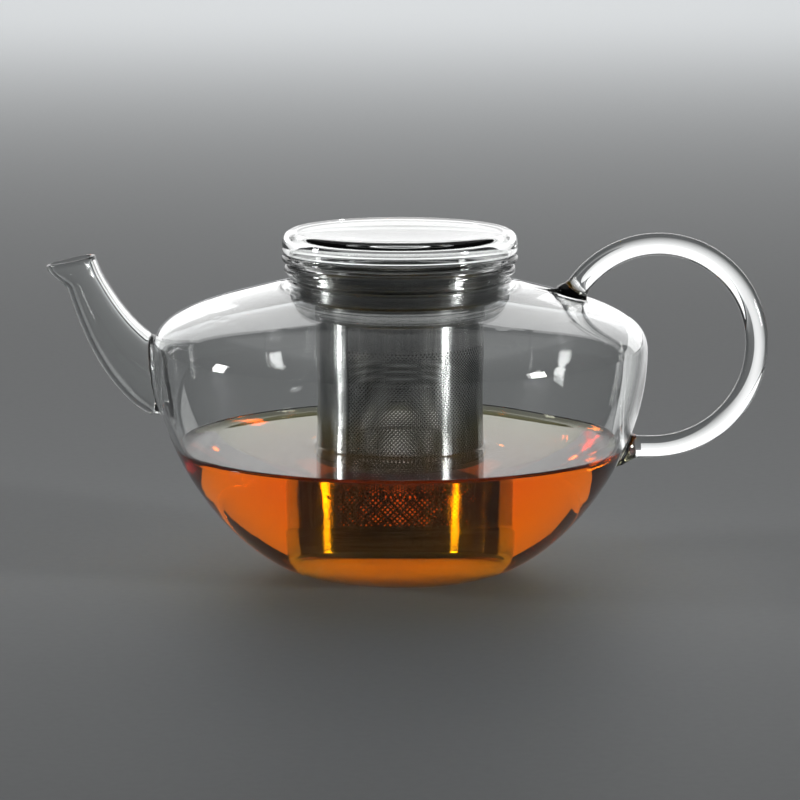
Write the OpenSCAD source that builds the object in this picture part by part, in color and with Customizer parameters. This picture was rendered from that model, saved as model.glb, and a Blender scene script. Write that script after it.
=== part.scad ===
// Glass teapot with a lift-out steel strainer and a hollow glass lid.
// Millimetres. +Z is up and the flat foot rests on Z = 0, with the pot's axis on Z.
// The handle is on +X and the spout on -X.

/* [Pot] */
// Height of the neck's rim above the table
rim_z = 108; // [104:0.5:112]
// Largest outer radius of the bowl
bowl_r = 86; // [82:0.5:90]
// Height of the bowl's widest part
bowl_z = 78; // [74:0.5:82]
// Radius of the flat foot
foot_r = 31; // [26:1:34]
// Thickness of the bowl's glass
wall = 2.4; // [2:0.1:3]
// Radius of the bore through the neck
bore_r = 36.4; // [36:0.1:37]

/* [Spout] */
// Height at which the spout's axis leaves the bowl
spout_root_z = 68.8; // [66:0.2:72]
// Height of the middle of the spout's mouth
spout_tip_z = 109; // [106:0.5:113]
// How far the mouth's middle stands out past the bowl
spout_reach = 26; // [23:0.5:30]
// Outer radius of the spout at the bowl
spout_root_r = 12.4; // [11:0.1:13]
// Outer radius of the spout just below its lip
spout_tip_r = 6.1; // [5.6:0.1:7]
// Thickness of the spout's glass
spout_wall = 1.7; // [1.4:0.1:2]
// How far the pouring lip turns outward
lip_reach = 4.8; // [0:0.2:6]
// How far the rest of the mouth's rim flares
mouth_flare = 1.6; // [0:0.1:2]

/* [Handle] */
// Diameter of the handle's glass rod
rod_d = 7.8; // [7:0.1:9]
// Radius of the rod's axis round the upper bend
upper_bend_r = 34.1; // [33:0.1:36]
// Radius of the rod's axis round the lower bend
lower_bend_r = 36.1; // [34:0.1:38]
// Height of the rod's axis where it leaves the shoulder
handle_top_z = 99; // [98:0.2:100]
// Radius of the root where the rod is fused to the bowl
root_r = 6.2; // [5:0.1:7]

/* [Lid] */
// Height of the lid above the strainer's rim
lid_h = 11.3; // [10:0.1:14]
// Outer radius of the lid's side
lid_r = 40.9; // [40:0.1:42]
// Depth of the dish in the lid's top
dish_depth = 1.5; // [0.8:0.1:2.4]
// Thickness of the lid's glass
lid_wall = 2.8; // [2:0.1:3]
// How far the lid's plug reaches down into the strainer
plug_depth = 8; // [5:0.5:10]

/* [Strainer] */
// Thickness of the sheet steel
sheet = 0.5; // [0.4:0.1:0.8]
// Outer radius of the rolled sleeve
sleeve_r = 29; // [27:0.5:29]
// Height of the strainer's bottom above the table
strainer_z = 19.4; // [16:0.2:24]
// Height of the wide collar below the rim
collar_h = 13.5; // [12:0.5:15]
// Height of the solid cup that closes the bottom
cup_h = 10.4; // [8:0.2:14]

/* [Hidden] */
$fn = 96;

glass = [0.80, 0.86, 0.86, 0.45];
steel = [0.62, 0.63, 0.64];

slide_gap = 0.5;              // radial room between the neck's bore and the strainer's collar
neck_r = bore_r + 2.2;        // waist of the neck, under the rolled rim
rim_r = bore_r + 3.8;         // rolled rim
neck_z = rim_z - 4;           // waist's height
roof_r = bore_r + 6.6;        // where the shoulder turns up into the neck
roof_z = rim_z - 7.3;
weld = wall / 2;              // depth to which spout and handle are fused into the bowl's wall

collar_r = bore_r - slide_gap;
flange_r = rim_r - 1;         // strainer's flange, resting on the rim
flange_z = rim_z + sheet;     // its upper face, on which the lid rests
collar_z = rim_z - collar_h;  // collar's lower end
skirt_h = 6;                  // narrow skirt below the collar, which grips the sleeve
cup_r = sleeve_r + sheet;     // the cup is drawn over the sleeve's lower end
cup_corner = 2.4;             // rounding of the cup's bottom edge
plug_r = collar_r - sheet - 0.8;

floor_r = foot_r - 4;         // flat part of the bowl's floor, inside
throat_edge = 2.4;            // height of the neck's bore above the glass it springs from
low_steps = 16;               // straight steps in the bowl's outline, below and above its widest part
high_steps = 14;

spout_rings = 24;
spout_sides = 28;
throat_r = 10;                // hole through the bowl's wall behind the spout
throat_length = 24;

// ---- Curves ----

// A point on a cubic Bezier curve
function bezier_point(p, t) = let (s = 1 - t)
    s * s * s * p[0] + 3 * s * s * t * p[1] + 3 * s * t * t * p[2] + t * t * t * p[3];

// Points along a cubic Bezier curve, without its first point when "first" is 1
function bezier(p, n, first = 0) = [for (i = [first:n]) bezier_point(p, i / n)];

// Points along an arc from angle a to angle b
function arc(centre, r, a, b, n) = [
    for (i = [0:n]) let (w = a + (b - a) * i / n) centre + r * [cos(w), sin(w)]
];

// Smooth step from 0 at a to 1 at b
function ease(x, a, b) = let (t = max(0, min(1, (x - a) / (b - a)))) t * t * (3 - 2 * t);

// A shallow parabola from its lowest point on the axis out to radius r
function shallow_bowl(r, low, high, n) = [for (i = [0:n]) [r * i / n, low + (high - low) * pow(i / n, 2)]];

// An outline moved sideways by d, to the left of its direction of travel
function beside(p, d) = [
    for (i = [0:len(p) - 1])
        let (a = p[max(i - 1, 0)], b = p[min(i + 1, len(p) - 1)], u = (b - a) / norm(b - a))
            p[i] + d * [-u[1], u[0]]
];

// ---- Pot ----

// Outer outline of the bowl, from the foot's edge up to the start of the neck
bowl = concat(
    bezier([[foot_r, 0], [foot_r + 20, 0.5], [bowl_r, bowl_z * 0.464], [bowl_r, bowl_z]], low_steps),
    bezier([[bowl_r, bowl_z], [bowl_r, bowl_z + 12.4], [roof_r + 28.8, roof_z - 7.6], [roof_r, roof_z]],
        high_steps, 1)
);

// Neck from the shoulder to the rolled rim, and over the rim to its bore
neck = concat(
    bezier([[roof_r, roof_z], [roof_r - 2.8, roof_z + 0.7], [neck_r, roof_z + 1.6], [neck_r, neck_z]], 6, 1),
    bezier([[neck_r, neck_z], [neck_r, neck_z + 1.1], [rim_r, neck_z + 0.9], [rim_r, rim_z - 1.9]], 5, 1),
    arc([rim_r - 1.5, rim_z - 1.5], 1.5, 0, 90, 5),
    arc([bore_r + 0.8, rim_z - 0.8], 0.8, 90, 180, 4)
);

// Bowl's outline at a depth d inside the glass
function bowl_at(d) = beside(bowl, d);

// Outer radius of the lower bowl at height z
function bowl_radius(z) = lookup(z, [for (i = [0:low_steps]) [bowl[i][1], bowl[i][0]]]);

// Everything within the bowl at depth d, used to trim what is fused to its wall
module bowl_core(d) {
    line = bowl_at(d);
    rotate_extrude() polygon(concat([[0, d]], line, [[0, line[len(line) - 1][1]]]));
}

module pot_body() {
    inner = bowl_at(wall);
    last = inner[len(inner) - 1];
    outline = concat(
        [[0, 0]], bowl, neck,
        [[bore_r, last[1] + throat_edge], [bore_r + 1, last[1] + 1]],
        [for (i = [len(inner) - 1:-1:1]) inner[i]],
        [[floor_r, wall], [0, wall]]
    );
    color(glass)
    difference() {
        rotate_extrude() polygon(outline);
        spout_throat();
    }
}

// ---- Spout ----

spout_root = [-bowl_radius(spout_root_z), spout_root_z];
spout_tip = [-bowl_r - spout_reach, spout_tip_z];
spout_line = [spout_root, spout_root + [-12, 8.2], spout_tip + [7, -18.5], spout_tip];
root_slope = 34.3;            // angle of the spout's axis above the horizontal at its root
lip_slope = 192;              // direction of the mouth's plane, seen from -Y
spout_inset = 9;              // how far the spout's tube starts inside the bowl before it is trimmed
lip_start = 0.86;             // how far along its axis the spout starts to open into its lip
back_flare = 0.4;             // flare of the mouth's back edge, as a share of that at its sides

// Spout's axis at t, from 0 at the bowl to 1 at the mouth, with t below 0 running back into the bowl
function spout_at(t) = t < 0
    ? spout_root + t * spout_inset * [-cos(root_slope), sin(root_slope)]
    : bezier_point(spout_line, t);

// Direction of a ring's long axis, which turns level towards the mouth
function ring_slope(t) =
    let (d = spout_at(t + 0.01) - spout_at(t - 0.01), square = atan2(d[1], d[0]) + 90)
        square + (lip_slope - square) * ease(t, lip_start, 1);

// Outer radius of the spout
function spout_radius(t) = spout_tip_r + (spout_root_r - spout_tip_r) * pow(1 - max(t, 0), 1.15);

// One ring of points round the spout's axis, drawn in by d
function spout_ring(t, d) =
    let (c = spout_at(t), u = ring_slope(t), r = spout_radius(t) - d, opening = ease(t, lip_start, 1),
        lip = lip_reach * opening, flare = mouth_flare * opening)
        [for (i = [0:spout_sides - 1])
            let (a = 360 * i / spout_sides, front = max(cos(a), 0), back = min(cos(a), 0),
                along = r * cos(a) + lip * pow(front, 2) + back_flare * flare * back)
                [c[0] + along * cos(u), (r + flare) * sin(a), c[1] + along * sin(u)]];

// A skin over rings of points, which either join up end to end or are closed by two flat caps
module skin(rings, looped) {
    n = len(rings);
    k = len(rings[0]);
    polyhedron(
        points = [for (ring = rings, p = ring) p],
        faces = concat(
            [for (i = [0:n - (looped ? 1 : 2)], j = [0:k - 1])
                let (here = i * k, next = (i + 1) % n * k, beyond = (j + 1) % k)
                    each [[here + j, here + beyond, next + beyond], [here + j, next + beyond, next + j]]],
            looped ? [] : [[for (j = [k - 1:-1:0]) j], [for (j = [0:k - 1]) (n - 1) * k + j]]
        )
    );
}

module spout() {
    steps = [for (i = [-1:spout_rings]) i < 0 ? -1 : i / spout_rings];
    color(glass)
    difference() {
        skin(concat(
            [for (t = steps) spout_ring(t, 0)],
            [for (i = [len(steps) - 1:-1:0]) spout_ring(steps[i], spout_wall)]
        ), true);
        bowl_core(weld);
    }
}

// The hole through the bowl's wall behind the spout
module spout_throat() {
    translate([spout_root[0], 0, spout_root[1]])
    rotate([0, -90 + root_slope, 0])
    cylinder(r = throat_r, h = throat_length, center = true);
}

// ---- Handle ----

handle_start_r = bowl_r - 25;
handle_heading = 57.4;        // direction in which the rod leaves the shoulder
bend_change = -60.7;          // heading at which the upper bend gives way to the lower one
end_heading = -180;           // the rod comes back level to the bowl's wall
root_reach = 6;               // length over which the rod widens into its root
root_buried = 4;              // length of the widened root inside the shoulder
root_stub = 5;                // length of straight rod before the upper bend
tail_overrun = 1.25;          // how far the tail runs on into the bowl's wall, as a multiple of its length
bend_step = 6;                // degrees between rings in the bends
rod_sides = 20;

// Centre of a right-hand bend of radius r that is entered or left at point p with a heading
function bend_centre(p, heading, r) = p + r * [sin(heading), -cos(heading)];
function on_bend(c, heading, r) = c - r * [sin(heading), -cos(heading)];

rod_start = [handle_start_r, handle_top_z];
upper_centre = bend_centre(rod_start, handle_heading, upper_bend_r);
rod_middle = on_bend(upper_centre, bend_change, upper_bend_r);
lower_centre = bend_centre(rod_middle, bend_change, lower_bend_r);
rod_end = on_bend(lower_centre, end_heading, lower_bend_r);
tail_length = rod_end[0] - bowl_radius(rod_end[1]);

// The rod's axis as [x, z, heading, radius], with straight ends that widen into the fused roots
function root_flare(s) = rod_d / 2 + (root_r - rod_d / 2) * pow(1 - ease(s, 0, root_reach), 2);
function rod_stations() = concat(
    [for (s = [-root_stub:0]) [rod_start[0] + s * cos(handle_heading),
        rod_start[1] + s * sin(handle_heading), handle_heading, root_flare(s + root_buried)]],
    [for (w = [handle_heading - bend_step:-bend_step:bend_change])
        let (p = on_bend(upper_centre, w, upper_bend_r)) [p[0], p[1], w, rod_d / 2]],
    [for (w = [bend_change:-bend_step:end_heading + 1])
        let (p = on_bend(lower_centre, w, lower_bend_r), left = (w - end_heading) * PI / 180 * lower_bend_r)
            [p[0], p[1], w, root_flare(tail_length + left)]],
    [for (s = [0:0.125:tail_overrun])
        [rod_end[0] - s * tail_length, rod_end[1], end_heading, root_flare(tail_length * (1 - s))]]
);
function rod_ring(q) = [for (i = [0:rod_sides - 1]) let (a = 360 * i / rod_sides)
    [q[0] - q[3] * cos(a) * sin(q[2]), q[3] * sin(a), q[1] + q[3] * cos(a) * cos(q[2])]];

module handle() {
    color(glass)
    difference() {
        skin([for (q = rod_stations()) rod_ring(q)], false);
        bowl_core(weld);
    }
}

// ---- Lid ----

module lid() {
    base = flange_z;
    top = base + lid_h;
    crest_r = lid_r - 4;                       // middle of the raised rim round the dish
    dish_z = top - dish_depth;
    side_r = lid_r - lid_wall;                 // inner face of the side
    ceiling_z = dish_z - lid_wall;
    plug_z = base - plug_depth;
    plug_bore_r = plug_r - lid_wall;
    edge = 0.9;                                // rounding of the plug's end
    brim = 1.3;                                // rounding of the brim that rests on the strainer
    crest_drop = 0.1;                          // the crest is level to within this
    dish_r = crest_r - 1;
    corner_drop = 0.45;                        // fall of the ceiling into the hollow's upper corner
    corner_r = crest_r - 3.4;
    ceiling = shallow_bowl(corner_r, ceiling_z, top - lid_wall - corner_drop, 6);
    outline = concat(
        shallow_bowl(dish_r, dish_z, top - crest_drop, 8),
        bezier([[dish_r, top - crest_drop], [crest_r - 0.3, top], [crest_r + 0.2, top],
            [crest_r + 0.8, top - crest_drop]], 4, 1),
        bezier([[crest_r + 0.8, top - crest_drop], [lid_r - 1.4, top - 0.5], [lid_r, top - 2],
            [lid_r, top - 4.4]], 6, 1),
        [[lid_r, base + 4.4], [lid_r - 0.4, base + 3.7]],
        arc([lid_r - 1.1, base + 1.8], brim, 60, -60, 6),
        [[lid_r - 1.1, base], [plug_r, base]],
        arc([plug_r - edge, plug_z + edge], edge, 0, -90, 4),
        arc([plug_bore_r + edge, plug_z + edge], edge, -90, -180, 4),
        bezier([[plug_bore_r, base + 1.2], [plug_bore_r, base + 2.6], [side_r, base + 2.2],
            [side_r, base + 4.2]], 6),
        bezier([[side_r, base + 4.2], [side_r, top - 3.2], [side_r - 2, top - lid_wall - 0.3],
            [corner_r, top - lid_wall - corner_drop]], 6, 1),
        [for (i = [len(ceiling) - 2:-1:0]) ceiling[i]]
    );
    color(glass) rotate_extrude() polygon(outline);
}

// ---- Strainer ----

module strainer_collar() {
    skirt_r = sleeve_r + sheet;
    corner = 1.6;             // rounding of the collar's lower corner
    fold = 0.8;               // rounding where the skirt turns down
    outline = concat(
        [[flange_r, flange_z], [flange_r, rim_z], [collar_r, rim_z]],
        [[collar_r, collar_z + corner]],
        arc([collar_r - corner, collar_z + corner], corner, 0, -90, 5),
        [[skirt_r + fold, collar_z]],
        arc([skirt_r + fold, collar_z - fold], fold, 90, 180, 3),
        [[skirt_r, collar_z - skirt_h], [sleeve_r, collar_z - skirt_h], [sleeve_r, collar_z + sheet]],
        [[collar_r - corner, collar_z + sheet]],
        arc([collar_r - corner, collar_z + corner], corner - sheet, -90, 0, 4),
        [[collar_r - sheet, flange_z]]
    );
    color(steel) rotate_extrude() polygon(outline);
}

module strainer_sleeve() {
    low = strainer_z + cup_corner;
    high = collar_z - 0.6;
    color(steel)
    difference() {
        translate([0, 0, low]) cylinder(r = sleeve_r, h = high - low);
        translate([0, 0, low - 1]) cylinder(r = sleeve_r - sheet, h = high - low + 2);
    }
}

module strainer_cup() {
    centre = [cup_r - cup_corner, strainer_z + cup_corner];
    outline = concat(
        [[0, strainer_z]],
        arc(centre, cup_corner, -90, 0, 6),
        [[cup_r, strainer_z + cup_h], [sleeve_r, strainer_z + cup_h]],
        arc(centre, cup_corner - sheet, 0, -90, 5),
        [[0, strainer_z + sheet]]
    );
    color(steel) rotate_extrude() polygon(outline);
}

pot_body();
spout();
handle();
lid();
strainer_collar();
strainer_sleeve();
strainer_cup();
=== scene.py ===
import math

import bmesh
import bpy
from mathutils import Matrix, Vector
from mathutils.kdtree import KDTree


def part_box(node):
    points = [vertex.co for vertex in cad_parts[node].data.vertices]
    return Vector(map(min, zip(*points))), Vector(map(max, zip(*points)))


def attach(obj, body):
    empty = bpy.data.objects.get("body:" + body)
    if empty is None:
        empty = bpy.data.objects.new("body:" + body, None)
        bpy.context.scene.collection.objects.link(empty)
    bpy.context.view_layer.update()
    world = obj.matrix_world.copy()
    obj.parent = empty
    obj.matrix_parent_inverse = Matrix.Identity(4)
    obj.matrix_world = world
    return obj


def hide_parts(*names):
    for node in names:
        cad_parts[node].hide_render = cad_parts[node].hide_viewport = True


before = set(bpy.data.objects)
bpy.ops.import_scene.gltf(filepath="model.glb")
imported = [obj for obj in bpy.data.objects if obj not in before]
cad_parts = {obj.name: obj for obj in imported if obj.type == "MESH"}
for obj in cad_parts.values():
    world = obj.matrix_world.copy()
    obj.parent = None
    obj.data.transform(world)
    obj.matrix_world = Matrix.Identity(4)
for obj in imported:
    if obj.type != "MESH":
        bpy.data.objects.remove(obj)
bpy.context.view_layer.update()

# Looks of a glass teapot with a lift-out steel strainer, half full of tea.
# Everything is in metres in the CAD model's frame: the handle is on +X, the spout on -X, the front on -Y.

MM = 0.001

# ---------------------------------------------------------------- sizes taken from the frame

pot_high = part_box("pot_body")[1]
lid_low, lid_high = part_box("lid")
collar_low, collar_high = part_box("strainer_collar")
sleeve_low, sleeve_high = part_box("strainer_sleeve")
cup_low, cup_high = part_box("strainer_cup")

RIM_Z = pot_high.z
BOWL_R = pot_high.y
BOWL_Z = RIM_Z - 30 * MM          # height of the bowl's widest part
FOOT_R = 31 * MM
WALL = 2.4 * MM                   # thickness of the bowl's glass
FLANGE_R = collar_high.y          # strainer's flange on the rim
RIM_R = FLANGE_R + 1 * MM
BORE_R = RIM_R - 3.8 * MM         # inside of the neck
NECK_R = BORE_R + 2.2 * MM        # neck's waist, and the height at which its rolled rim starts
NECK_Z = RIM_Z - 4 * MM
ROOF_R = BORE_R + 6.6 * MM        # where the shoulder turns up into the neck
ROOF_Z = RIM_Z - 7.3 * MM
COLLAR_R = BORE_R - 0.5 * MM
SHEET = 0.5 * MM                  # strainer's sheet steel
SLEEVE_R = sleeve_high.y
CUP_R = cup_high.y
TEA_Z = 44.3 * MM                 # level of the tea

POT_SIDES = 288                   # steps round each kind of turned piece
TURNED_SIDES = 240
STEEL_SIDES = 200
SAME_POINT = 1e-7                 # points nearer than this count as one
RADIUS_KEY = 1e7                  # radii that agree to a tenth of a micrometre count as one

# ---------------------------------------------------------------- curves and meshes


def on_bezier(controls, t):
    """The point at t, from 0 to 1, on a cubic Bezier curve with four control points."""
    s = 1 - t
    weights = (s * s * s, 3 * s * s * t, 3 * s * t * t, t * t * t)
    return tuple(sum(w * p[k] for w, p in zip(weights, controls)) for k in (0, 1))


def bezier(p0, p1, p2, p3, steps, first=0):
    """Points along a cubic Bezier curve."""
    return [on_bezier((p0, p1, p2, p3), i / steps) for i in range(first, steps + 1)]


def arc(centre, r, start, end, steps):
    """Points along an arc, with its angles in degrees."""
    angles = [math.radians(start + (end - start) * i / steps) for i in range(steps + 1)]
    return [(centre[0] + r * math.cos(a), centre[1] + r * math.sin(a)) for a in angles]


def turn(count):
    """The angles of even steps once round a circle."""
    return [2 * math.pi * k / count for k in range(count)]


def around(r, degrees, z):
    """A point at radius r and height z, at an angle from the front towards the handle."""
    a = math.radians(degrees)
    return r * math.sin(a), -r * math.cos(a), z


def ring_across(x, z, heading, r, sides, wide=1):
    """A ring square to a line in the XZ plane, with its heading in radians, stretched in Y by wide."""
    return [(x - r * math.cos(w) * math.sin(heading), wide * r * math.sin(w),
             z + r * math.cos(w) * math.cos(heading)) for w in turn(sides)]


def beside(line, d):
    """A line moved sideways by d, to the left of its direction of travel."""
    moved = []
    for i, p in enumerate(line):
        a, b = line[max(i - 1, 0)], line[min(i + 1, len(line) - 1)]
        length = math.hypot(b[0] - a[0], b[1] - a[1])
        moved.append((p[0] - d * (b[1] - a[1]) / length, p[1] + d * (b[0] - a[0]) / length))
    return moved


def shallow_bowl(r, low, high, steps):
    """Points along a parabola from its lowest point, on the axis, out to radius r."""
    return [(r * i / steps, low + (high - low) * (i / steps) ** 2) for i in range(steps + 1)]


def ease(x, a, b):
    """Smooth step from 0 at a to 1 at b."""
    t = max(0.0, min(1.0, (x - a) / (b - a)))
    return t * t * (3 - 2 * t)


def new_object(name, bm, smooth=True):
    """An object made from a bmesh, with its faces turned outward."""
    bmesh.ops.recalc_face_normals(bm, faces=bm.faces)
    mesh = bpy.data.meshes.new(name)
    bm.to_mesh(mesh)
    bm.free()
    mesh.polygons.foreach_set("use_smooth", [smooth] * len(mesh.polygons))
    obj = bpy.data.objects.new(name, mesh)
    bpy.context.scene.collection.objects.link(obj)
    return obj


def stitch(bm, here, after):
    """A band of faces between two rings of vertices."""
    for k in range(len(here)):
        m = (k + 1) % len(here)
        bm.faces.new((here[k], here[m], after[m], after[k]))


def lathe(name, outline, sides=TURNED_SIDES):
    """A closed outline of (radius, height) points turned about Z. A point on the axis becomes a pole."""
    bm = bmesh.new()
    rings = []
    outline = [p for i, p in enumerate(outline) if math.dist(p, outline[i - 1]) > SAME_POINT]
    for r, z in outline:
        if r < SAME_POINT:
            rings.append([bm.verts.new((0, 0, z))])
            continue
        rings.append([bm.verts.new((r * math.cos(a), r * math.sin(a), z)) for a in turn(sides)])
    for i, ring in enumerate(rings):
        after = rings[(i + 1) % len(rings)]
        if len(ring) == 1 and len(after) == 1:
            continue
        for k in range(sides):
            m = (k + 1) % sides
            corners = [r[c % len(r)] for r, c in ((ring, k), (ring, m), (after, m), (after, k))]
            bm.faces.new(list(dict.fromkeys(corners)))
    return new_object(name, bm)


def loft(name, rings):
    """A skin over rings of points, closed by two caps."""
    bm = bmesh.new()
    verts = [[bm.verts.new(p) for p in ring] for ring in rings]
    for here, after in zip(verts, verts[1:]):
        stitch(bm, here, after)
    bm.faces.new(verts[0])
    bm.faces.new(verts[-1])
    return new_object(name, bm)


def crisp(obj, degrees=40):
    """Keeps the folds of sheet metal sharp where they are steeper than an angle."""
    obj.data.set_sharp_from_angle(angle=math.radians(degrees))
    return obj


def combine(obj, other, operation):
    """Boolean of two closed meshes. The second is used up."""
    boolean = obj.modifiers.new("boolean", "BOOLEAN")
    boolean.operation = operation
    boolean.solver = "EXACT"
    boolean.object = other
    graph = bpy.context.evaluated_depsgraph_get()
    result = bpy.data.meshes.new_from_object(obj.evaluated_get(graph), depsgraph=graph)
    obj.modifiers.remove(boolean)
    obj.data = result
    bpy.data.objects.remove(other)


# ---------------------------------------------------------------- pot: bowl, spout and handle fused


def bowl_line():
    """Outer outline of the bowl from the foot's edge up to the neck."""
    lower = bezier((FOOT_R, 0), (FOOT_R + 20 * MM, 0.5 * MM), (BOWL_R, BOWL_Z * 0.464), (BOWL_R, BOWL_Z), 56)
    upper = bezier((BOWL_R, BOWL_Z), (BOWL_R, BOWL_Z + 12.4 * MM), (ROOF_R + 28.8 * MM, ROOF_Z - 7.6 * MM),
                   (ROOF_R, ROOF_Z), 44, 1)
    return lower + upper


def neck_line():
    """Outline of the neck from the shoulder, over the rolled rim, to the bore."""
    waist = bezier((ROOF_R, ROOF_Z), (ROOF_R - 2.8 * MM, ROOF_Z + 0.7 * MM), (NECK_R, ROOF_Z + 1.6 * MM),
                   (NECK_R, NECK_Z), 10, 1)
    bead = bezier((NECK_R, NECK_Z), (NECK_R, NECK_Z + 1.1 * MM), (RIM_R, NECK_Z + 0.9 * MM),
                  (RIM_R, RIM_Z - 1.9 * MM), 8, 1)
    top = arc((RIM_R - 1.5 * MM, RIM_Z - 1.5 * MM), 1.5 * MM, 0, 90, 8)
    return waist + bead + top + arc((BORE_R + 0.8 * MM, RIM_Z - 0.8 * MM), 0.8 * MM, 90, 180, 6)


BOWL = bowl_line()


def bowl_radius(z):
    """Outer radius of the lower bowl at height z."""
    for (r0, z0), (r1, z1) in zip(BOWL, BOWL[1:]):
        if z0 <= z <= z1:
            return r0 + (r1 - r0) * (z - z0) / (z1 - z0)
    return BOWL_R


def bowl_core(depth):
    """A solid of everything within the bowl at a depth inside its glass."""
    line = beside(BOWL, depth)
    return lathe("core", [(0, depth)] + line + [(0, line[-1][1])])


def bowl_shell():
    """Bowl, shoulder and neck as one closed wall, whose inner face wanders a little, as blown glass does."""
    inner = beside(BOWL, WALL)
    end_r, end_z = inner[-1]
    throat = bezier((BORE_R, RIM_Z - 3 * MM), (BORE_R, end_z + 2 * MM), (BORE_R + 0.6 * MM, end_z + 1 * MM),
                    (end_r, end_z), 8)
    outline = [(0, 0)] + [(FOOT_R * k / 6, 0) for k in range(1, 6)] + BOWL + neck_line() + throat
    outline += list(reversed(inner[:-1])) + [(FOOT_R * k / 6, WALL) for k in (5, 4, 3, 2, 1)] + [(0, WALL)]
    shell = lathe("pot_glass", outline, POT_SIDES)
    inner_radii = set(round(r * RADIUS_KEY) for r, z in inner)
    for v in shell.data.vertices:
        r = math.hypot(v.co.x, v.co.y)
        if round(r * RADIUS_KEY) in inner_radii and r > 10 * MM:
            a = math.atan2(v.co.y, v.co.x)
            wander = 0.10 * math.sin(2 * a + 1.1) + 0.07 * math.sin(3 * a + v.co.z / (13 * MM))
            wander += 0.06 * math.sin(5 * a - v.co.z / (8 * MM))
            scale = 1 + wander * MM * ease(r, 20 * MM, 45 * MM) / r
            v.co.x *= scale
            v.co.y *= scale
    return shell


# Spout: its axis is a Bezier curve in the XZ plane, from the bowl's wall to the middle of the mouth
SPOUT_ROOT_Z = 68.8 * MM
SPOUT_ROOT = (-bowl_radius(SPOUT_ROOT_Z), SPOUT_ROOT_Z)
SPOUT_TIP = (-BOWL_R - 26 * MM, RIM_Z + 1 * MM)
SPOUT_LINE = (SPOUT_ROOT, (SPOUT_ROOT[0] - 12 * MM, SPOUT_ROOT[1] + 8.2 * MM),
              (SPOUT_TIP[0] + 7 * MM, SPOUT_TIP[1] - 18.5 * MM), SPOUT_TIP)
SPOUT_SLOPE = math.radians(34.3)  # of the axis at the root, above the horizontal
SPOUT_ROOT_R = 12.4 * MM
SPOUT_TIP_R = 6.1 * MM
SPOUT_WALL = 1.7 * MM
SPOUT_TAPER = 1.15                # 1 is a straight taper, and more narrows the spout sooner
SPOUT_BACK = 9 * MM               # how far the tube runs on into the bowl for each 1 of t below 0
SPOUT_STEPS = 48
LIP_SLOPE = math.radians(192)     # direction of the mouth's plane, seen from the front
LIP_REACH = 4.8 * MM
LIP_START = 0.86                  # how far along its axis the spout starts to open into its lip
MOUTH_FLARE = 1.6 * MM            # flare of the mouth's sides
BACK_FLARE = 0.4                  # flare of the mouth's back edge, as a share of that at its sides


def spout_at(t):
    """The spout's axis at t: 0 at the bowl, 1 at the mouth, and below 0 straight on into the bowl."""
    if t < 0:
        back = t * SPOUT_BACK
        return SPOUT_ROOT[0] - back * math.cos(SPOUT_SLOPE), SPOUT_ROOT[1] + back * math.sin(SPOUT_SLOPE)
    return on_bezier(SPOUT_LINE, t)


def spout_ring(t, inset, sides=64):
    """A ring of points round the spout's axis, drawn in by inset from its outer face."""
    a, b = spout_at(t - 0.01), spout_at(t + 0.01)
    square = math.atan2(b[1] - a[1], b[0] - a[0]) + math.pi / 2
    square %= 2 * math.pi
    opening = ease(t, LIP_START, 1)
    slope = square + (LIP_SLOPE - square) * opening
    r = SPOUT_TIP_R + (SPOUT_ROOT_R - SPOUT_TIP_R) * (1 - max(t, 0)) ** SPOUT_TAPER - inset
    lip = LIP_REACH * opening
    flare = MOUTH_FLARE * opening
    x, z = spout_at(t)
    ring = []
    for w in turn(sides):
        along = r * math.cos(w) + lip * max(math.cos(w), 0) ** 2 + BACK_FLARE * flare * min(math.cos(w), 0)
        ring.append((x + along * math.cos(slope), (r + flare) * math.sin(w), z + along * math.sin(slope)))
    return ring


def spout_tube():
    """The spout's outer skin, rounded over the lip, as a closed solid without its channel."""
    rings = [spout_ring(-1 + k / 6, 0) for k in range(6)]
    rings += [spout_ring(k / SPOUT_STEPS, 0) for k in range(SPOUT_STEPS)]
    for w in (0, 30, 60, 90):
        rise = 0.4 * SPOUT_WALL * math.sin(math.radians(w))
        inset = 0.5 * SPOUT_WALL * (1 - math.cos(math.radians(w)))
        rings.append([(x, y, z + rise) for x, y, z in spout_ring(1, inset)])
    return loft("spout_tube", rings)


def spout_channel():
    """The space inside the spout, from inside the bowl to above the mouth."""
    rings = [spout_ring(-1.6 + k / 5, SPOUT_WALL) for k in range(8)]
    rings += [spout_ring(k / SPOUT_STEPS, SPOUT_WALL) for k in range(SPOUT_STEPS)]
    for rise, inset in ((0, 1), (0.25, 0.93), (0.36, 0.8), (0.42, 0.6), (3, 0.6)):
        rings.append([(x, y, z + rise * SPOUT_WALL) for x, y, z in spout_ring(1, inset * SPOUT_WALL)])
    return loft("spout_channel", rings)


# Handle: a bent rod whose axis runs over two arcs in the XZ plane and ends in a straight tail
ROD_R = 3.9 * MM
ROOT_R = 6.2 * MM                 # radius of the rod's fused root
ROOT_REACH = 6 * MM               # length over which the rod widens into a root
ROOT_SINK = 3 * MM                # how far the rod's first bend starts from the shoulder's glass
UPPER_BEND = 34.1 * MM
LOWER_BEND = 36.1 * MM
HEADINGS = (57.4, -60.7, -180)    # of the rod at the shoulder, between its bends, and at its lower end
ROD_START = (BOWL_R - 25 * MM, RIM_Z - 9 * MM)
DRIP_WIDE = 1.15                  # width of the pulls of glass at its roots, as a share of their depth
SEAM_ANGLE = math.radians(16)     # an edge between fused parts that folds more than this is rounded


def on_bend(centre, heading, r):
    """The point on a bend of radius r where the rod has a heading, in degrees."""
    h = math.radians(heading)
    return centre[0] - r * math.sin(h), centre[1] + r * math.cos(h)


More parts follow.
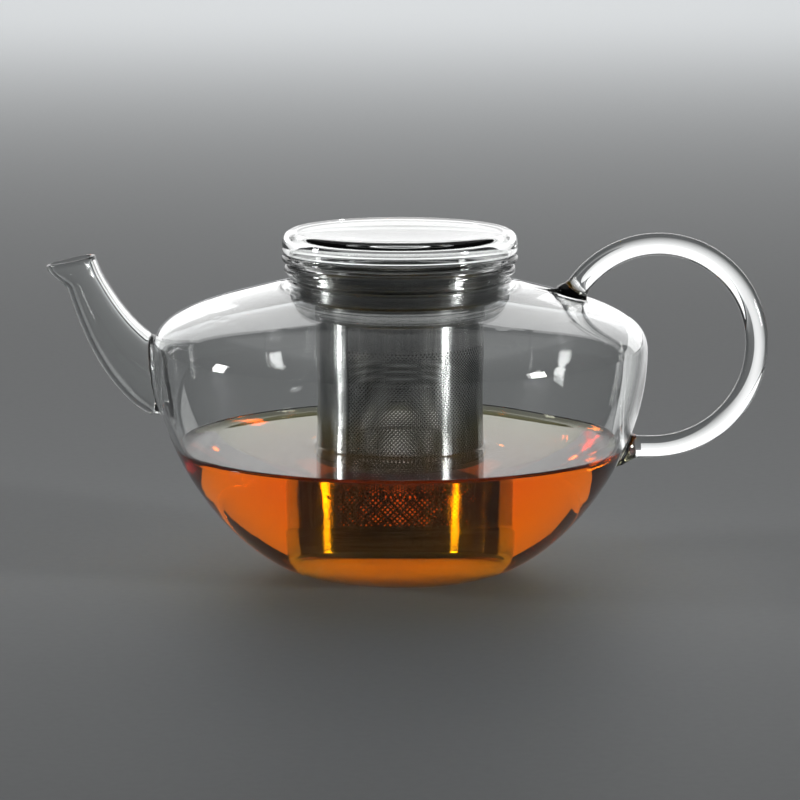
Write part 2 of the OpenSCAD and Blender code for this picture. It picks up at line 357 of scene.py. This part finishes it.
def rod_stations():
    """The rod's axis as (x, z, heading, distance from the nearer root)."""
    first, middle, last = HEADINGS
    upper = on_bend(ROD_START, first, -UPPER_BEND)
    joint = on_bend(upper, middle, UPPER_BEND)
    lower = on_bend(joint, middle, -LOWER_BEND)
    end = on_bend(lower, last, LOWER_BEND)
    tail = end[0] - bowl_radius(end[1])
    h = math.radians(first)
    stations = []
    for k in range(-12, 1):
        s = k * 0.4 * MM
        x, z = ROD_START[0] + s * math.cos(h), ROD_START[1] + s * math.sin(h)
        stations.append((x, z, first, s + ROOT_SINK))
    steps = 60
    for centre, r, a, b in ((upper, UPPER_BEND, first, middle), (lower, LOWER_BEND, middle, last)):
        for k in range(1, steps + 1):
            heading = a + (b - a) * k / steps
            from_start = r * math.radians(a - heading) + ROOT_SINK if r == UPPER_BEND else 1
            from_end = r * math.radians(heading - b) + tail if r == LOWER_BEND else 1
            stations.append((*on_bend(centre, heading, r), heading, min(from_start, from_end)))
    for k in range(1, 21):
        s = tail * 1.2 * k / 20
        stations.append((end[0] - s, end[1], last, tail - s))
    return stations


def rod(stations, sides=48):
    """The handle's rod, widening towards both roots."""
    rings = []
    for x, z, heading, away in stations:
        r = ROD_R + (ROOT_R - ROD_R) * (1 - ease(away, 0, ROOT_REACH)) ** 2
        rings.append(ring_across(x, z, math.radians(heading), r, sides))
    return loft("rod", rings)


def drip(path, sides=24):
    """A tapering pull of glass along (x, z, radius) points, left where the hot rod was pressed on."""
    rings = []
    for i, (x, z, r) in enumerate(path):
        a, b = path[max(i - 1, 0)], path[min(i + 1, len(path) - 1)]
        heading = math.atan2(b[1] - a[1], b[0] - a[0])
        rings.append(ring_across(x, z, heading, r, sides, DRIP_WIDE))
    return loft("drip", rings)


def is_near(point, joints):
    """Whether a point is within the reach of any joint."""
    return any((point - c).length < reach for c, reach in joints)


def soften_joints(obj, joints, passes=7):
    """Rounds the seams where one part of the glass runs into another, within a reach of each joint."""
    bm = bmesh.new()
    bm.from_mesh(obj.data)
    bmesh.ops.remove_doubles(bm, verts=bm.verts, dist=0.03 * MM)
    bmesh.ops.dissolve_degenerate(bm, edges=bm.edges, dist=0.02 * MM)
    near = [v for v in bm.verts if is_near(v.co, joints)]
    chosen = set(near)
    sharp = set()
    for e in bm.edges:
        if e.verts[0] in chosen and len(e.link_faces) == 2 and e.calc_face_angle(0) > SEAM_ANGLE:
            sharp.update(e.verts)
    tree = KDTree(len(sharp))
    for i, v in enumerate(sharp):
        tree.insert(v.co, i)
    tree.balance()
    distance = {v: tree.find(v.co)[2] for v in near}
    for reach in (1.0, 1.6, 2.4):
        band = [v for v in near if distance[v] < reach * MM]
        for _ in range(passes):
            bmesh.ops.smooth_vert(bm, verts=band, factor=0.5,
                                  use_axis_x=True, use_axis_y=True, use_axis_z=True)
    bmesh.ops.recalc_face_normals(bm, faces=bm.faces)
    bm.to_mesh(obj.data)
    bm.free()
    obj.data.polygons.foreach_set("use_smooth", [True] * len(obj.data.polygons))


def refine(obj, joints):
    """Halves the faces round each joint, so that its fused seam can be rounded."""
    bm = bmesh.new()
    bm.from_mesh(obj.data)
    edges = {}
    for f in bm.faces:
        if is_near(f.calc_center_median(), joints):
            edges.update(dict.fromkeys(f.edges))
    bmesh.ops.subdivide_edges(bm, edges=list(edges), cuts=1, use_grid_fill=True)
    bm.to_mesh(obj.data)
    bm.free()


def pot_glass():
    """The whole pot as one closed skin. The joints are places where parts fuse, each with its reach."""
    stations = rod_stations()
    top = Vector((ROD_START[0], 0, ROD_START[1] - 2 * MM))
    low_z = stations[-1][1]
    low = Vector((bowl_radius(low_z), 0, low_z))
    root = Vector((SPOUT_ROOT[0], 0, SPOUT_ROOT[1]))
    joints = ((top, 13 * MM), (low, 11 * MM), (root, 20 * MM))
    pot = bowl_shell()
    refine(pot, joints)
    extras = [spout_tube(), rod(stations)]
    neckward = ((1.5, 5.5, 2.6), (-1.5, 2.2, 2.5), (-4.5, 0.6, 2.0), (-8, 0.7, 1.4), (-12, 1.5, 0.7))
    downward = ((3, 0, 2.6), (0.6, -2.5, 2.3), (-1.2, -5, 1.8), (-3.6, -8, 0.9))
    for joint, pull in ((top, neckward), (low, downward)):
        extras.append(drip([(joint.x + x * MM, joint.z + z * MM, r * MM) for x, z, r in pull]))
    for piece in extras:
        combine(piece, bowl_core(0.5 * WALL), "DIFFERENCE")
        combine(pot, piece, "UNION")
    combine(pot, spout_channel(), "DIFFERENCE")
    soften_joints(pot, joints)
    return pot


# ---------------------------------------------------------------- lid

LID_WALL = 2.8 * MM


def lid_glass():
    """One wall of glass: dished top, rounded side, brim on the flange, and plug in the collar."""
    base = collar_high.z
    top = lid_high.z
    side = lid_high.y - 0.2 * MM
    bore = side - LID_WALL
    crest = side - 4 * MM             # radius of the ridge round the dish
    dish = top - 1.5 * MM             # height of the dish's middle
    brow = top - 0.1 * MM             # height of the dish's edge, beside the ridge
    ceiling = dish - LID_WALL
    corner = (crest - 3.4 * MM, top - 3.25 * MM)
    plug = COLLAR_R - SHEET - 0.8 * MM
    plug_bore = plug - LID_WALL
    low = lid_low.z
    edge = 0.9 * MM
    outline = shallow_bowl(crest - 1 * MM, dish, brow, 24)
    outline += bezier((crest - 1 * MM, brow), (crest - 0.3 * MM, top), (crest + 0.2 * MM, top),
                      (crest + 0.8 * MM, brow), 8, 1)
    outline += bezier((crest + 0.8 * MM, brow), (side - 1.4 * MM, top - 0.5 * MM),
                      (side, top - 2 * MM), (side, top - 4.4 * MM), 12, 1)
    outline += [(side, base + 5.4 * MM), (side, base + 4.6 * MM), (side - 0.15 * MM, base + 4.1 * MM)]
    outline += [(side - 0.42 * MM, base + 3.7 * MM), (side - 0.45 * MM, base + 3.35 * MM)]
    outline += arc((side - 1.1 * MM, base + 1.8 * MM), 1.3 * MM, 55, -60, 12)
    outline += [(side - 1.1 * MM, base), (side - 3 * MM, base)]
    outline += [(plug + 0.8 * MM, base), (plug, base - 0.7 * MM)]
    outline += arc((plug - edge, low + edge), edge, 0, -90, 6)
    outline += arc((plug_bore + edge, low + edge), edge, -90, -180, 6)
    outline += bezier((plug_bore, base + 1.2 * MM), (plug_bore, base + 2.6 * MM), (bore, base + 2.2 * MM),
                      (bore, base + 4.2 * MM), 12)
    outline += bezier((bore, base + 4.2 * MM), (bore, top - 3.2 * MM), (bore - 2 * MM, top - 3.1 * MM),
                      corner, 12, 1)
    outline += reversed(shallow_bowl(corner[0], ceiling, corner[1], 16))
    return lathe("lid_glass", outline)


# ---------------------------------------------------------------- strainer

HOLE_LOW_Z = cup_high.z + 0.5 * MM        # perforated band
HOLE_HIGH_Z = collar_low.z - 5 * MM
COLUMNS = 256                             # lattice columns round the sleeve, an even number
PLAIN = (-104, -37)                       # sheet's plain margin, in degrees from the front to the handle
LAP = (-48.5, -37.5)                      # where the sheet laps over itself and is spot-welded
HOLE = 0.60                               # hole's width as a share of its cell
LAP_LIFT = 0.3                            # outer face of the lap above the sleeve's, in mm
LAP_SINK = -0.05
WELD_STEP = 6.7 * MM
WELD_SIDES = 14
WELD_RINGS = ((0.60, 0.26), (0.48, 0.40), (0.34, 0.42), (0.22, 0.34))    # (radius, height), in mm


def perforated_sleeve():
    """The rolled sheet with its holes, as a lattice of diamond cells on two faces of the sheet."""
    bm = bmesh.new()
    step = 360 / COLUMNS
    rows = 2 * round((HOLE_HIGH_Z - HOLE_LOW_Z) / (SLEEVE_R * math.radians(step)) / 2)
    rise = (HOLE_HIGH_Z - HOLE_LOW_Z) / rows
    made = {}

    def at(i, j, layer):
        """A place in the lattice, on the sheet's outer face (layer 0) or inner one."""
        return around(SLEEVE_R - layer * SHEET, i * step, HOLE_LOW_Z + j * rise)

    def corner(i, j, layer):
        """The vertex that neighbouring cells share at a lattice point."""
        key = (i % COLUMNS, j, layer)
        if key not in made:
            made[key] = bm.verts.new(at(*key))
        return made[key]

    def plain(i):
        angle = (i % COLUMNS) * step
        angle -= 360 if angle > 180 else 0
        return PLAIN[0] < angle < PLAIN[1]

    for j in range(rows + 1):
        for i in range(COLUMNS):
            if (i + j) % 2 == 0:
                continue
            cell = [(i - 1, j), (i, j - 1), (i + 1, j), (i, j + 1)]
            inside = [p for p in cell if 0 <= p[1] <= rows]
            faces = [[corner(*p, layer) for p in inside] for layer in (0, 1)]
            if len(inside) < 4 or plain(i):
                for face in faces:
                    bm.faces.new(face)
                continue
            rims = []
            for layer in (0, 1):
                rim = [at(i + (p[0] - i) * HOLE, j + (p[1] - j) * HOLE, layer) for p in cell]
                rims.append([bm.verts.new(p) for p in rim])
                stitch(bm, faces[layer], rims[layer])
            stitch(bm, *rims)
    for edge_row, end_z in ((0, sleeve_low.z), (rows, sleeve_high.z)):
        ends = []
        for layer in (0, 1):
            edge = [corner(i, edge_row, layer) for i in range(0, COLUMNS, 2)]
            end = [around(SLEEVE_R - layer * SHEET, i * step, end_z) for i in range(0, COLUMNS, 2)]
            ends.append([bm.verts.new(p) for p in end])
            stitch(bm, edge, ends[layer])
        stitch(bm, *ends)
    return new_object("strainer_sleeve_sheet", bm)


def lap_strip():
    """The outer lap of the sheet's seam, with softened edges."""
    section = [(LAP[0], LAP_SINK), (LAP[0] + 0.15, 0.2), (LAP[0] + 0.5, LAP_LIFT)]
    section += [(LAP[0] + (LAP[1] - LAP[0]) * k / 8, LAP_LIFT) for k in range(1, 8)]
    section += [(LAP[1] - 0.5, LAP_LIFT), (LAP[1] - 0.15, 0.2), (LAP[1], LAP_SINK)]
    section += [(LAP[1] + (LAP[0] - LAP[1]) * k / 8, LAP_SINK) for k in range(1, 8)]
    heights = (cup_high.z - 0.5 * MM, collar_low.z + 0.5 * MM)
    return loft("lap", [[around(SLEEVE_R + lift * MM, a, z) for a, lift in section] for z in heights])


def weld_spots():
    """Shallow dimples with raised rings, in a column down the lap."""
    bm = bmesh.new()
    angle = math.radians((LAP[0] + LAP[1]) / 2)
    out = Vector((math.sin(angle), -math.cos(angle), 0))
    along = Vector((math.cos(angle), math.sin(angle), 0))
    z = cup_high.z + 3 * MM
    while z < collar_low.z - 1 * MM:
        loops = []
        for r, lift in WELD_RINGS:
            loop = []
            for w in turn(WELD_SIDES):
                height = Vector((0, 0, z + r * MM * math.sin(w)))
                p = out * (SLEEVE_R + lift * MM) + along * (r * MM * math.cos(w)) + height
                loop.append(bm.verts.new(p))
            loops.append(loop)
        for a, b in zip(loops, loops[1:]):
            stitch(bm, a, b)
        bm.faces.new(loops[-1])
        bm.faces.new(list(reversed(loops[0])))
        z += WELD_STEP
    return new_object("welds", bm)


def join(first, *others):
    """Several meshes made into one object."""
    bm = bmesh.new()
    for obj in (first, *others):
        bm.from_mesh(obj.data)
    bm.to_mesh(first.data)
    bm.free()
    first.data.polygons.foreach_set("use_smooth", [True] * len(first.data.polygons))
    for obj in others:
        bpy.data.objects.remove(obj)
    return first


def strainer_collar():
    """Flange, wide collar with two rolled grooves, and the narrow skirt over the sleeve."""
    high = collar_high.z
    low = collar_low.z + 6 * MM
    corner = 1.6 * MM
    skirt = SLEEVE_R + SHEET

    def wall(r, sign):
        """Collar's wall from top to bottom on one face, with its grooves."""
        points = []
        for k in range(41):
            z = high - 1.6 * MM - (high - low - 1.6 * MM - corner) * k / 40
            dip = sum(math.exp(-((z - g) / (0.55 * MM)) ** 2) for g in (high - 4.3 * MM, high - 8.6 * MM))
            points.append((r - 0.32 * MM * dip, z))
        return points if sign > 0 else points[::-1]

    flange_edge = arc((FLANGE_R - 0.25 * MM, high - 0.25 * MM), 0.25 * MM, 90, -90, 6)
    outline = [(COLLAR_R + 0.3 * MM, high)] + flange_edge + [(COLLAR_R + 0.4 * MM, high - SHEET)]
    outline += arc((COLLAR_R + 0.4 * MM, high - SHEET - 0.4 * MM), 0.4 * MM, 90, 180, 3)
    outline += wall(COLLAR_R, 1)
    outline += arc((COLLAR_R - corner, low + corner), corner, 0, -90, 8)
    outline += [(skirt + 2 * MM, low)] + arc((skirt + 0.8 * MM, low - 0.8 * MM), 0.8 * MM, 90, 180, 5)
    outline += [(skirt, collar_low.z + 0.2 * MM), (skirt - 0.15 * MM, collar_low.z)]
    outline += [(SLEEVE_R, collar_low.z), (SLEEVE_R, low), (SLEEVE_R + 0.6 * MM, low + SHEET)]
    outline += arc((COLLAR_R - corner, low + corner), corner - SHEET, -90, 0, 6)
    outline += wall(COLLAR_R - SHEET, -1)
    outline += arc((COLLAR_R + 0.3 * MM, high - 0.8 * MM), 0.8 * MM, 180, 100, 4)
    return crisp(lathe("strainer_collar_steel", outline, STEEL_SIDES))


def strainer_cup():
    """Drawn cup under the sleeve, with a rounded corner and a slightly raised floor."""
    corner = 2.4 * MM
    low, high = cup_low.z, cup_high.z
    centre = (CUP_R - corner, low + corner)
    floor = [(0, low + 0.35 * MM), (10 * MM, low + 0.3 * MM), (20 * MM, low + 0.1 * MM), (25 * MM, low)]
    outline = list(floor)
    outline += arc(centre, corner, -90, 0, 10)
    outline += [(CUP_R, high - 0.15 * MM), (CUP_R - 0.15 * MM, high), (SLEEVE_R, high)]
    outline += arc(centre, corner - SHEET, 0, -90, 8)
    outline += [(r, z + SHEET) for r, z in reversed(floor)]
    return crisp(lathe("strainer_cup_steel", outline, STEEL_SIDES))


# ---------------------------------------------------------------- tea

MENISCUS = 1.9                            # how far the tea climbs the glass, in mm


def tea_body():
    """Tea up to its level, a little way into the glass, with a meniscus at the glass and at the strainer."""
    into = 0.5 * MM
    outer = beside(BOWL, WALL - into)
    wall = [p for p in outer if p[1] < TEA_Z]
    above = [p for p in outer if TEA_Z <= p[1] < TEA_Z + MENISCUS * MM and p[0] > 70 * MM]
    rim_r = above[-1][0]
    outline = [(0, WALL - into)] + [(FOOT_R * k / 4, WALL - into) for k in (1, 2, 3)] + wall + above

    def level(r):
        """Height of the tea's surface at radius r."""
        at_glass = MENISCUS * math.exp(-max(rim_r - into - r, 0) / (1.3 * MM))
        at_sleeve = 0.6 * math.exp(-abs(r - SLEEVE_R) / (1.0 * MM))
        return TEA_Z + (at_glass + at_sleeve) * MM

    radii = [rim_r - into * 0.5 - (rim_r - SLEEVE_R - 2 * MM) * (k / 60) ** 1.8 for k in range(61)]
    radii += [SLEEVE_R + d * MM for d in (1.6, 1.2, 0.8, 0.5, 0.2, 0, -0.25, -0.5, -0.8, -1.2, -1.8, -3)]
    radii += [SLEEVE_R * k / 8 for k in (6, 4, 2)]
    outline += [(r, level(r)) for r in radii] + [(0, level(0))]
    return lathe("tea", outline)


# ---------------------------------------------------------------- materials

GLASS_IOR = 1.474
GLASS_TINT = (0.985, 0.995, 0.99)
GLASS_SHADE = (0.86, 0.88, 0.88)          # share of a lamp's light that passes one skin of glass
TEA_IOR = 1.333
TEA_COLOUR = (0.983, 0.91, 0.0)
TEA_DENSITY = 200                         # absorption per metre
INSIDE_SHADE_AND_TEA_STAIN = (0.17, 0.15, 0.125)           # painted shade, with a tea stain, on the steel inside the sleeve
ALONG_Z = (1, 1, 0.05)                    # stretch of the brushing: up and down, or round the piece
ROUND_Z = (0.05, 0.05, 1)


def material(name):
    """A new node material with its tree, Principled shader and output."""
    m = bpy.data.materials.new(name)
    m.use_nodes = True
    nodes = m.node_tree.nodes
    return m, nodes, m.node_tree.links, nodes["Principled BSDF"], nodes["Material Output"]


def noise(nodes, links, scale, detail=4.0, stretch=(1, 1, 1)):
    """Noise in the object's own coordinates, in metres, with a stretch along each axis."""
    place = nodes.new("ShaderNodeTexCoord")
    mapping = nodes.new("ShaderNodeMapping")
    mapping.inputs["Scale"].default_value = stretch
    texture = nodes.new("ShaderNodeTexNoise")
    texture.inputs["Scale"].default_value = scale
    texture.inputs["Detail"].default_value = detail
    links.new(place.outputs["Object"], mapping.inputs["Vector"])
    links.new(mapping.outputs["Vector"], texture.inputs["Vector"])
    return texture


def map_range(nodes, links, value, low, high, start=0.35, end=0.65):
    """A value mapped from the range start to end onto low to high."""
    node = nodes.new("ShaderNodeMapRange")
    node.inputs["From Min"].default_value = start
    node.inputs["From Max"].default_value = end
    node.inputs["To Min"].default_value = low
    node.inputs["To Max"].default_value = high
    links.new(value, node.inputs["Value"])
    return node.outputs["Result"]


def mix_colours(nodes, links, factor, first):
    """A node that mixes a first colour with a second, which the caller sets on its socket B."""
    node = nodes.new("ShaderNodeMix")
    node.data_type = "RGBA"
    node.inputs["A"].default_value = (*first, 1)
    links.new(factor, node.inputs["Factor"])
    return node


def bump(nodes, links, value, shader, strength, distance):
    """Relief finer than the mesh, from a value."""
    node = nodes.new("ShaderNodeBump")
    node.inputs["Strength"].default_value = strength
    node.inputs["Distance"].default_value = distance
    links.new(value, node.inputs["Height"])
    links.new(node.outputs["Normal"], shader.inputs["Normal"])


def glass(name, waviness):
    """Clear borosilicate glass with the faint waves of blown glass. Lamps' shadow rays pass through it."""
    m, nodes, links, shader, output = material(name)
    shader.inputs["Base Color"].default_value = (*GLASS_TINT, 1)
    shader.inputs["Transmission Weight"].default_value = 1
    shader.inputs["IOR"].default_value = GLASS_IOR
    smear = noise(nodes, links, 60, 3)
    roughness = map_range(nodes, links, smear.outputs["Fac"], 0.0, 0.015, 0.5, 0.75)
    links.new(roughness, shader.inputs["Roughness"])
    waves = noise(nodes, links, 22, 1.0, (1, 1, 1.6))
    bump(nodes, links, waves.outputs["Fac"], shader, waviness, 1.2 * MM)
    path = nodes.new("ShaderNodeLightPath")
    clear = nodes.new("ShaderNodeBsdfTransparent")
    clear.inputs["Color"].default_value = (*GLASS_SHADE, 1)
    mix = nodes.new("ShaderNodeMixShader")
    links.new(path.outputs["Is Shadow Ray"], mix.inputs[0])
    links.new(shader.outputs[0], mix.inputs[1])
    links.new(clear.outputs[0], mix.inputs[2])
    links.new(mix.outputs[0], output.inputs["Surface"])
    return m


def steel(name, tint, rough, stretch, brush=0.08, shade_and_stain_within=0):
    """Brushed stainless steel with faint stains. Within the given radius its colour is darker: painted shade
    in the hollow, with a tea stain.
    """
    m, nodes, links, shader, _ = material(name)
    shader.inputs["Metallic"].default_value = 1
    shader.inputs["Anisotropic"].default_value = 0.8
    shader.inputs["Anisotropic Rotation"].default_value = 0.25
    lines = noise(nodes, links, 900, 3, stretch)
    stains = noise(nodes, links, 70, 4)
    mix = nodes.new("ShaderNodeMath")
    mix.operation = "MULTIPLY"
    links.new(lines.outputs["Fac"], mix.inputs[0])
    links.new(map_range(nodes, links, stains.outputs["Fac"], 0.8, 1.2), mix.inputs[1])
    roughness = map_range(nodes, links, mix.outputs[0], rough * 0.7, rough * 1.4)
    links.new(roughness, shader.inputs["Roughness"])
    bump(nodes, links, lines.outputs["Fac"], shader, brush, 0.05 * MM)
    stained = map_range(nodes, links, stains.outputs["Fac"], 0, 1)
    shade = mix_colours(nodes, links, stained, [c * 0.86 for c in tint])
    shade.inputs["B"].default_value = (*tint, 1)
    place = nodes.new("ShaderNodeTexCoord")
    flat = nodes.new("ShaderNodeVectorMath")
    flat.operation = "MULTIPLY"
    flat.inputs[1].default_value = (1, 1, 0)
    radius = nodes.new("ShaderNodeVectorMath")
    radius.operation = "LENGTH"
    links.new(place.outputs["Object"], flat.inputs[0])
    links.new(flat.outputs["Vector"], radius.inputs[0])
    # Painted shade: within the radius, the inner face and the inner half of each hole's wall turn dark, with
    # a tea stain, so the holes read dark
    start, end = shade_and_stain_within - 0.1 * MM, shade_and_stain_within + 0.1 * MM
    outside = map_range(nodes, links, radius.outputs["Value"], 0, 1, start, end)
    inside_shade_and_stain = mix_colours(nodes, links, outside, INSIDE_SHADE_AND_TEA_STAIN)
    links.new(shade.outputs["Result"], inside_shade_and_stain.inputs["B"])
    links.new(inside_shade_and_stain.outputs["Result"], shader.inputs["Base Color"])
    return m


def tea_liquid():
    """Black tea: clear, and coloured by its depth."""
    m, nodes, links, shader, output = material("tea_liquid")
    shader.inputs["Base Color"].default_value = (1, 1, 1, 1)
    shader.inputs["Transmission Weight"].default_value = 1
    shader.inputs["IOR"].default_value = TEA_IOR
    shader.inputs["Roughness"].default_value = 0
    depth = nodes.new("ShaderNodeVolumeAbsorption")
    depth.inputs["Color"].default_value = (*TEA_COLOUR, 1)
    depth.inputs["Density"].default_value = TEA_DENSITY
    links.new(depth.outputs["Volume"], output.inputs["Volume"])
    return m


def dress(obj, mat, body, slot, *nodes):
    """Gives a piece its material and body, and hides the CAD nodes that it stands for. The slot is not used.
    """
    obj.data.materials.clear()
    obj.data.materials.append(mat)
    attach(obj, body)
    if nodes:
        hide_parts(*nodes)


dress(pot_glass(), glass("pot_glass_clear", 0.05), "pot", "pot_glass", "pot_body", "spout", "handle")
dress(lid_glass(), glass("lid_glass_clear", 0.02), "lid", "lid_glass", "lid")
dress(strainer_collar(), steel("collar_steel", (0.46, 0.46, 0.45), 0.16, ROUND_Z),
      "strainer", "collar_steel", "strainer_collar")
sleeve = crisp(join(perforated_sleeve(), lap_strip(), weld_spots()))
# The sleeve's inner face carries painted shade, with a tea stain
sleeve_steel = steel("sleeve_steel", (0.52, 0.52, 0.51), 0.19, ALONG_Z, shade_and_stain_within=SLEEVE_R - SHEET / 2)
dress(sleeve, sleeve_steel, "strainer", "sleeve_steel", "strainer_sleeve")
dress(strainer_cup(), steel("cup_steel", (0.50, 0.50, 0.49), 0.17, ROUND_Z),
      "strainer", "cup_steel", "strainer_cup")
dress(tea_body(), tea_liquid(), "pot", "tea")

# ---------------------------------------------------------------- stage, lights and camera

FLOOR = 6.0                               # half the floor's side
FLOOR_Z = -0.1 * MM                       # just under the foot, so that the two faces don't coincide
FLOOR_DARK = (0.31, 0.321, 0.329)
FLOOR_LIGHT = (0.34, 0.351, 0.359)


def floor_plane():
    """A plain grey floor, long enough to fill the view behind the pot from every side."""
    bm = bmesh.new()
    steps = 12
    places = [FLOOR * (2 * i / steps - 1) for i in range(steps + 1)]
    verts = [[bm.verts.new((x, y, FLOOR_Z)) for y in places] for x in places]
    for i in range(steps):
        for j in range(steps):
            bm.faces.new((verts[i][j], verts[i + 1][j], verts[i + 1][j + 1], verts[i][j + 1]))
    floor = new_object("floor", bm, False)
    m, nodes, links, shader, _ = material("floor_paper")
    shader.inputs["Roughness"].default_value = 0.6
    shader.inputs["Specular IOR Level"].default_value = 0.15
    grain = noise(nodes, links, 300, 3)
    shade = mix_colours(nodes, links, grain.outputs["Fac"], FLOOR_DARK)
    shade.inputs["B"].default_value = (*FLOOR_LIGHT, 1)
    links.new(shade.outputs["Result"], shader.inputs["Base Color"])
    floor.data.materials.append(m)


def softbox(name, at, size, radiance, towards=(0, 0, 0.07), spread=180):
    """A soft rectangular light of a given brightness. It shows in reflections and through glass."""
    light = bpy.data.lights.new(name, "AREA")
    light.shape = "RECTANGLE"
    light.size, light.size_y = size
    light.energy = radiance * math.pi * size[0] * size[1]
    light.spread = math.radians(spread)
    obj = bpy.data.objects.new(name, light)
    obj.location = at
    obj.rotation_euler = (Vector(towards) - Vector(at)).to_track_quat("-Z", "Y").to_euler()
    obj.visible_camera = False
    bpy.context.scene.collection.objects.link(obj)


floor_plane()
softbox("back_panel", (0.3, 3.9, 1.6), (6.4, 2.9), 1.25, (0.3, 0, 1.6))
softbox("back_wash", (0, 3.0, 1.6), (3.0, 1.6), 2.2, (0, 3.0, 0), spread=110)
softbox("overhead", (0, 0.6, 1.6), (1.6, 1.6), 0.22)
# Two small cards behind the handle brighten its rod, as is done for clear glass on a grey ground
CARD_Y = 72 * MM
CARDS = (("handle_card", 114 * MM, 72 * MM, (52 * MM, 110 * MM), 0.13),
         ("shoulder_card", 77 * MM, 108 * MM, (34 * MM, 40 * MM), 0.14))
for card, x, z, size, radiance in CARDS:
    softbox(card, (x, CARD_Y, z), size, radiance, (x, -1, z), spread=70)
softbox("left_window", around(2.2, -90, 0.35), (0.28, 0.66), 1.15, spread=30)
softbox("right_window", around(2.2, 65, 0.35), (0.30, 0.50), 1.5, spread=30)

world = bpy.data.worlds.new("studio")
world.use_nodes = True
background = world.node_tree.nodes["Background"]
background.inputs["Color"].default_value = (0.92, 0.97, 1.0, 1)
background.inputs["Strength"].default_value = 0.04
bpy.context.scene.world = world
bpy.context.scene.view_settings.view_transform = "Standard"

PITCH = math.radians(9.4)                 # how far the camera looks down
DISTANCE = 1.394
aim = Vector((0, 0, 60 * MM))             # half the pot's height
camera = bpy.data.objects.new("camera", bpy.data.cameras.new("camera"))
camera.data.lens = 180
camera.data.sensor_width = 36
camera.location = aim + DISTANCE * Vector((0, -math.cos(PITCH), math.sin(PITCH)))
camera.rotation_euler = (math.pi / 2 - PITCH, 0, 0)
camera.data.clip_start, camera.data.clip_end = 0.01, 50
bpy.context.scene.collection.objects.link(camera)
bpy.context.scene.camera = camera

# Light crosses many skins of glass and tea, so it needs more bounces than usual
cycles = bpy.context.scene.cycles
cycles.max_bounces = 32
cycles.transmission_bounces = 28
cycles.glossy_bounces = 12
cycles.transparent_max_bounces = 24
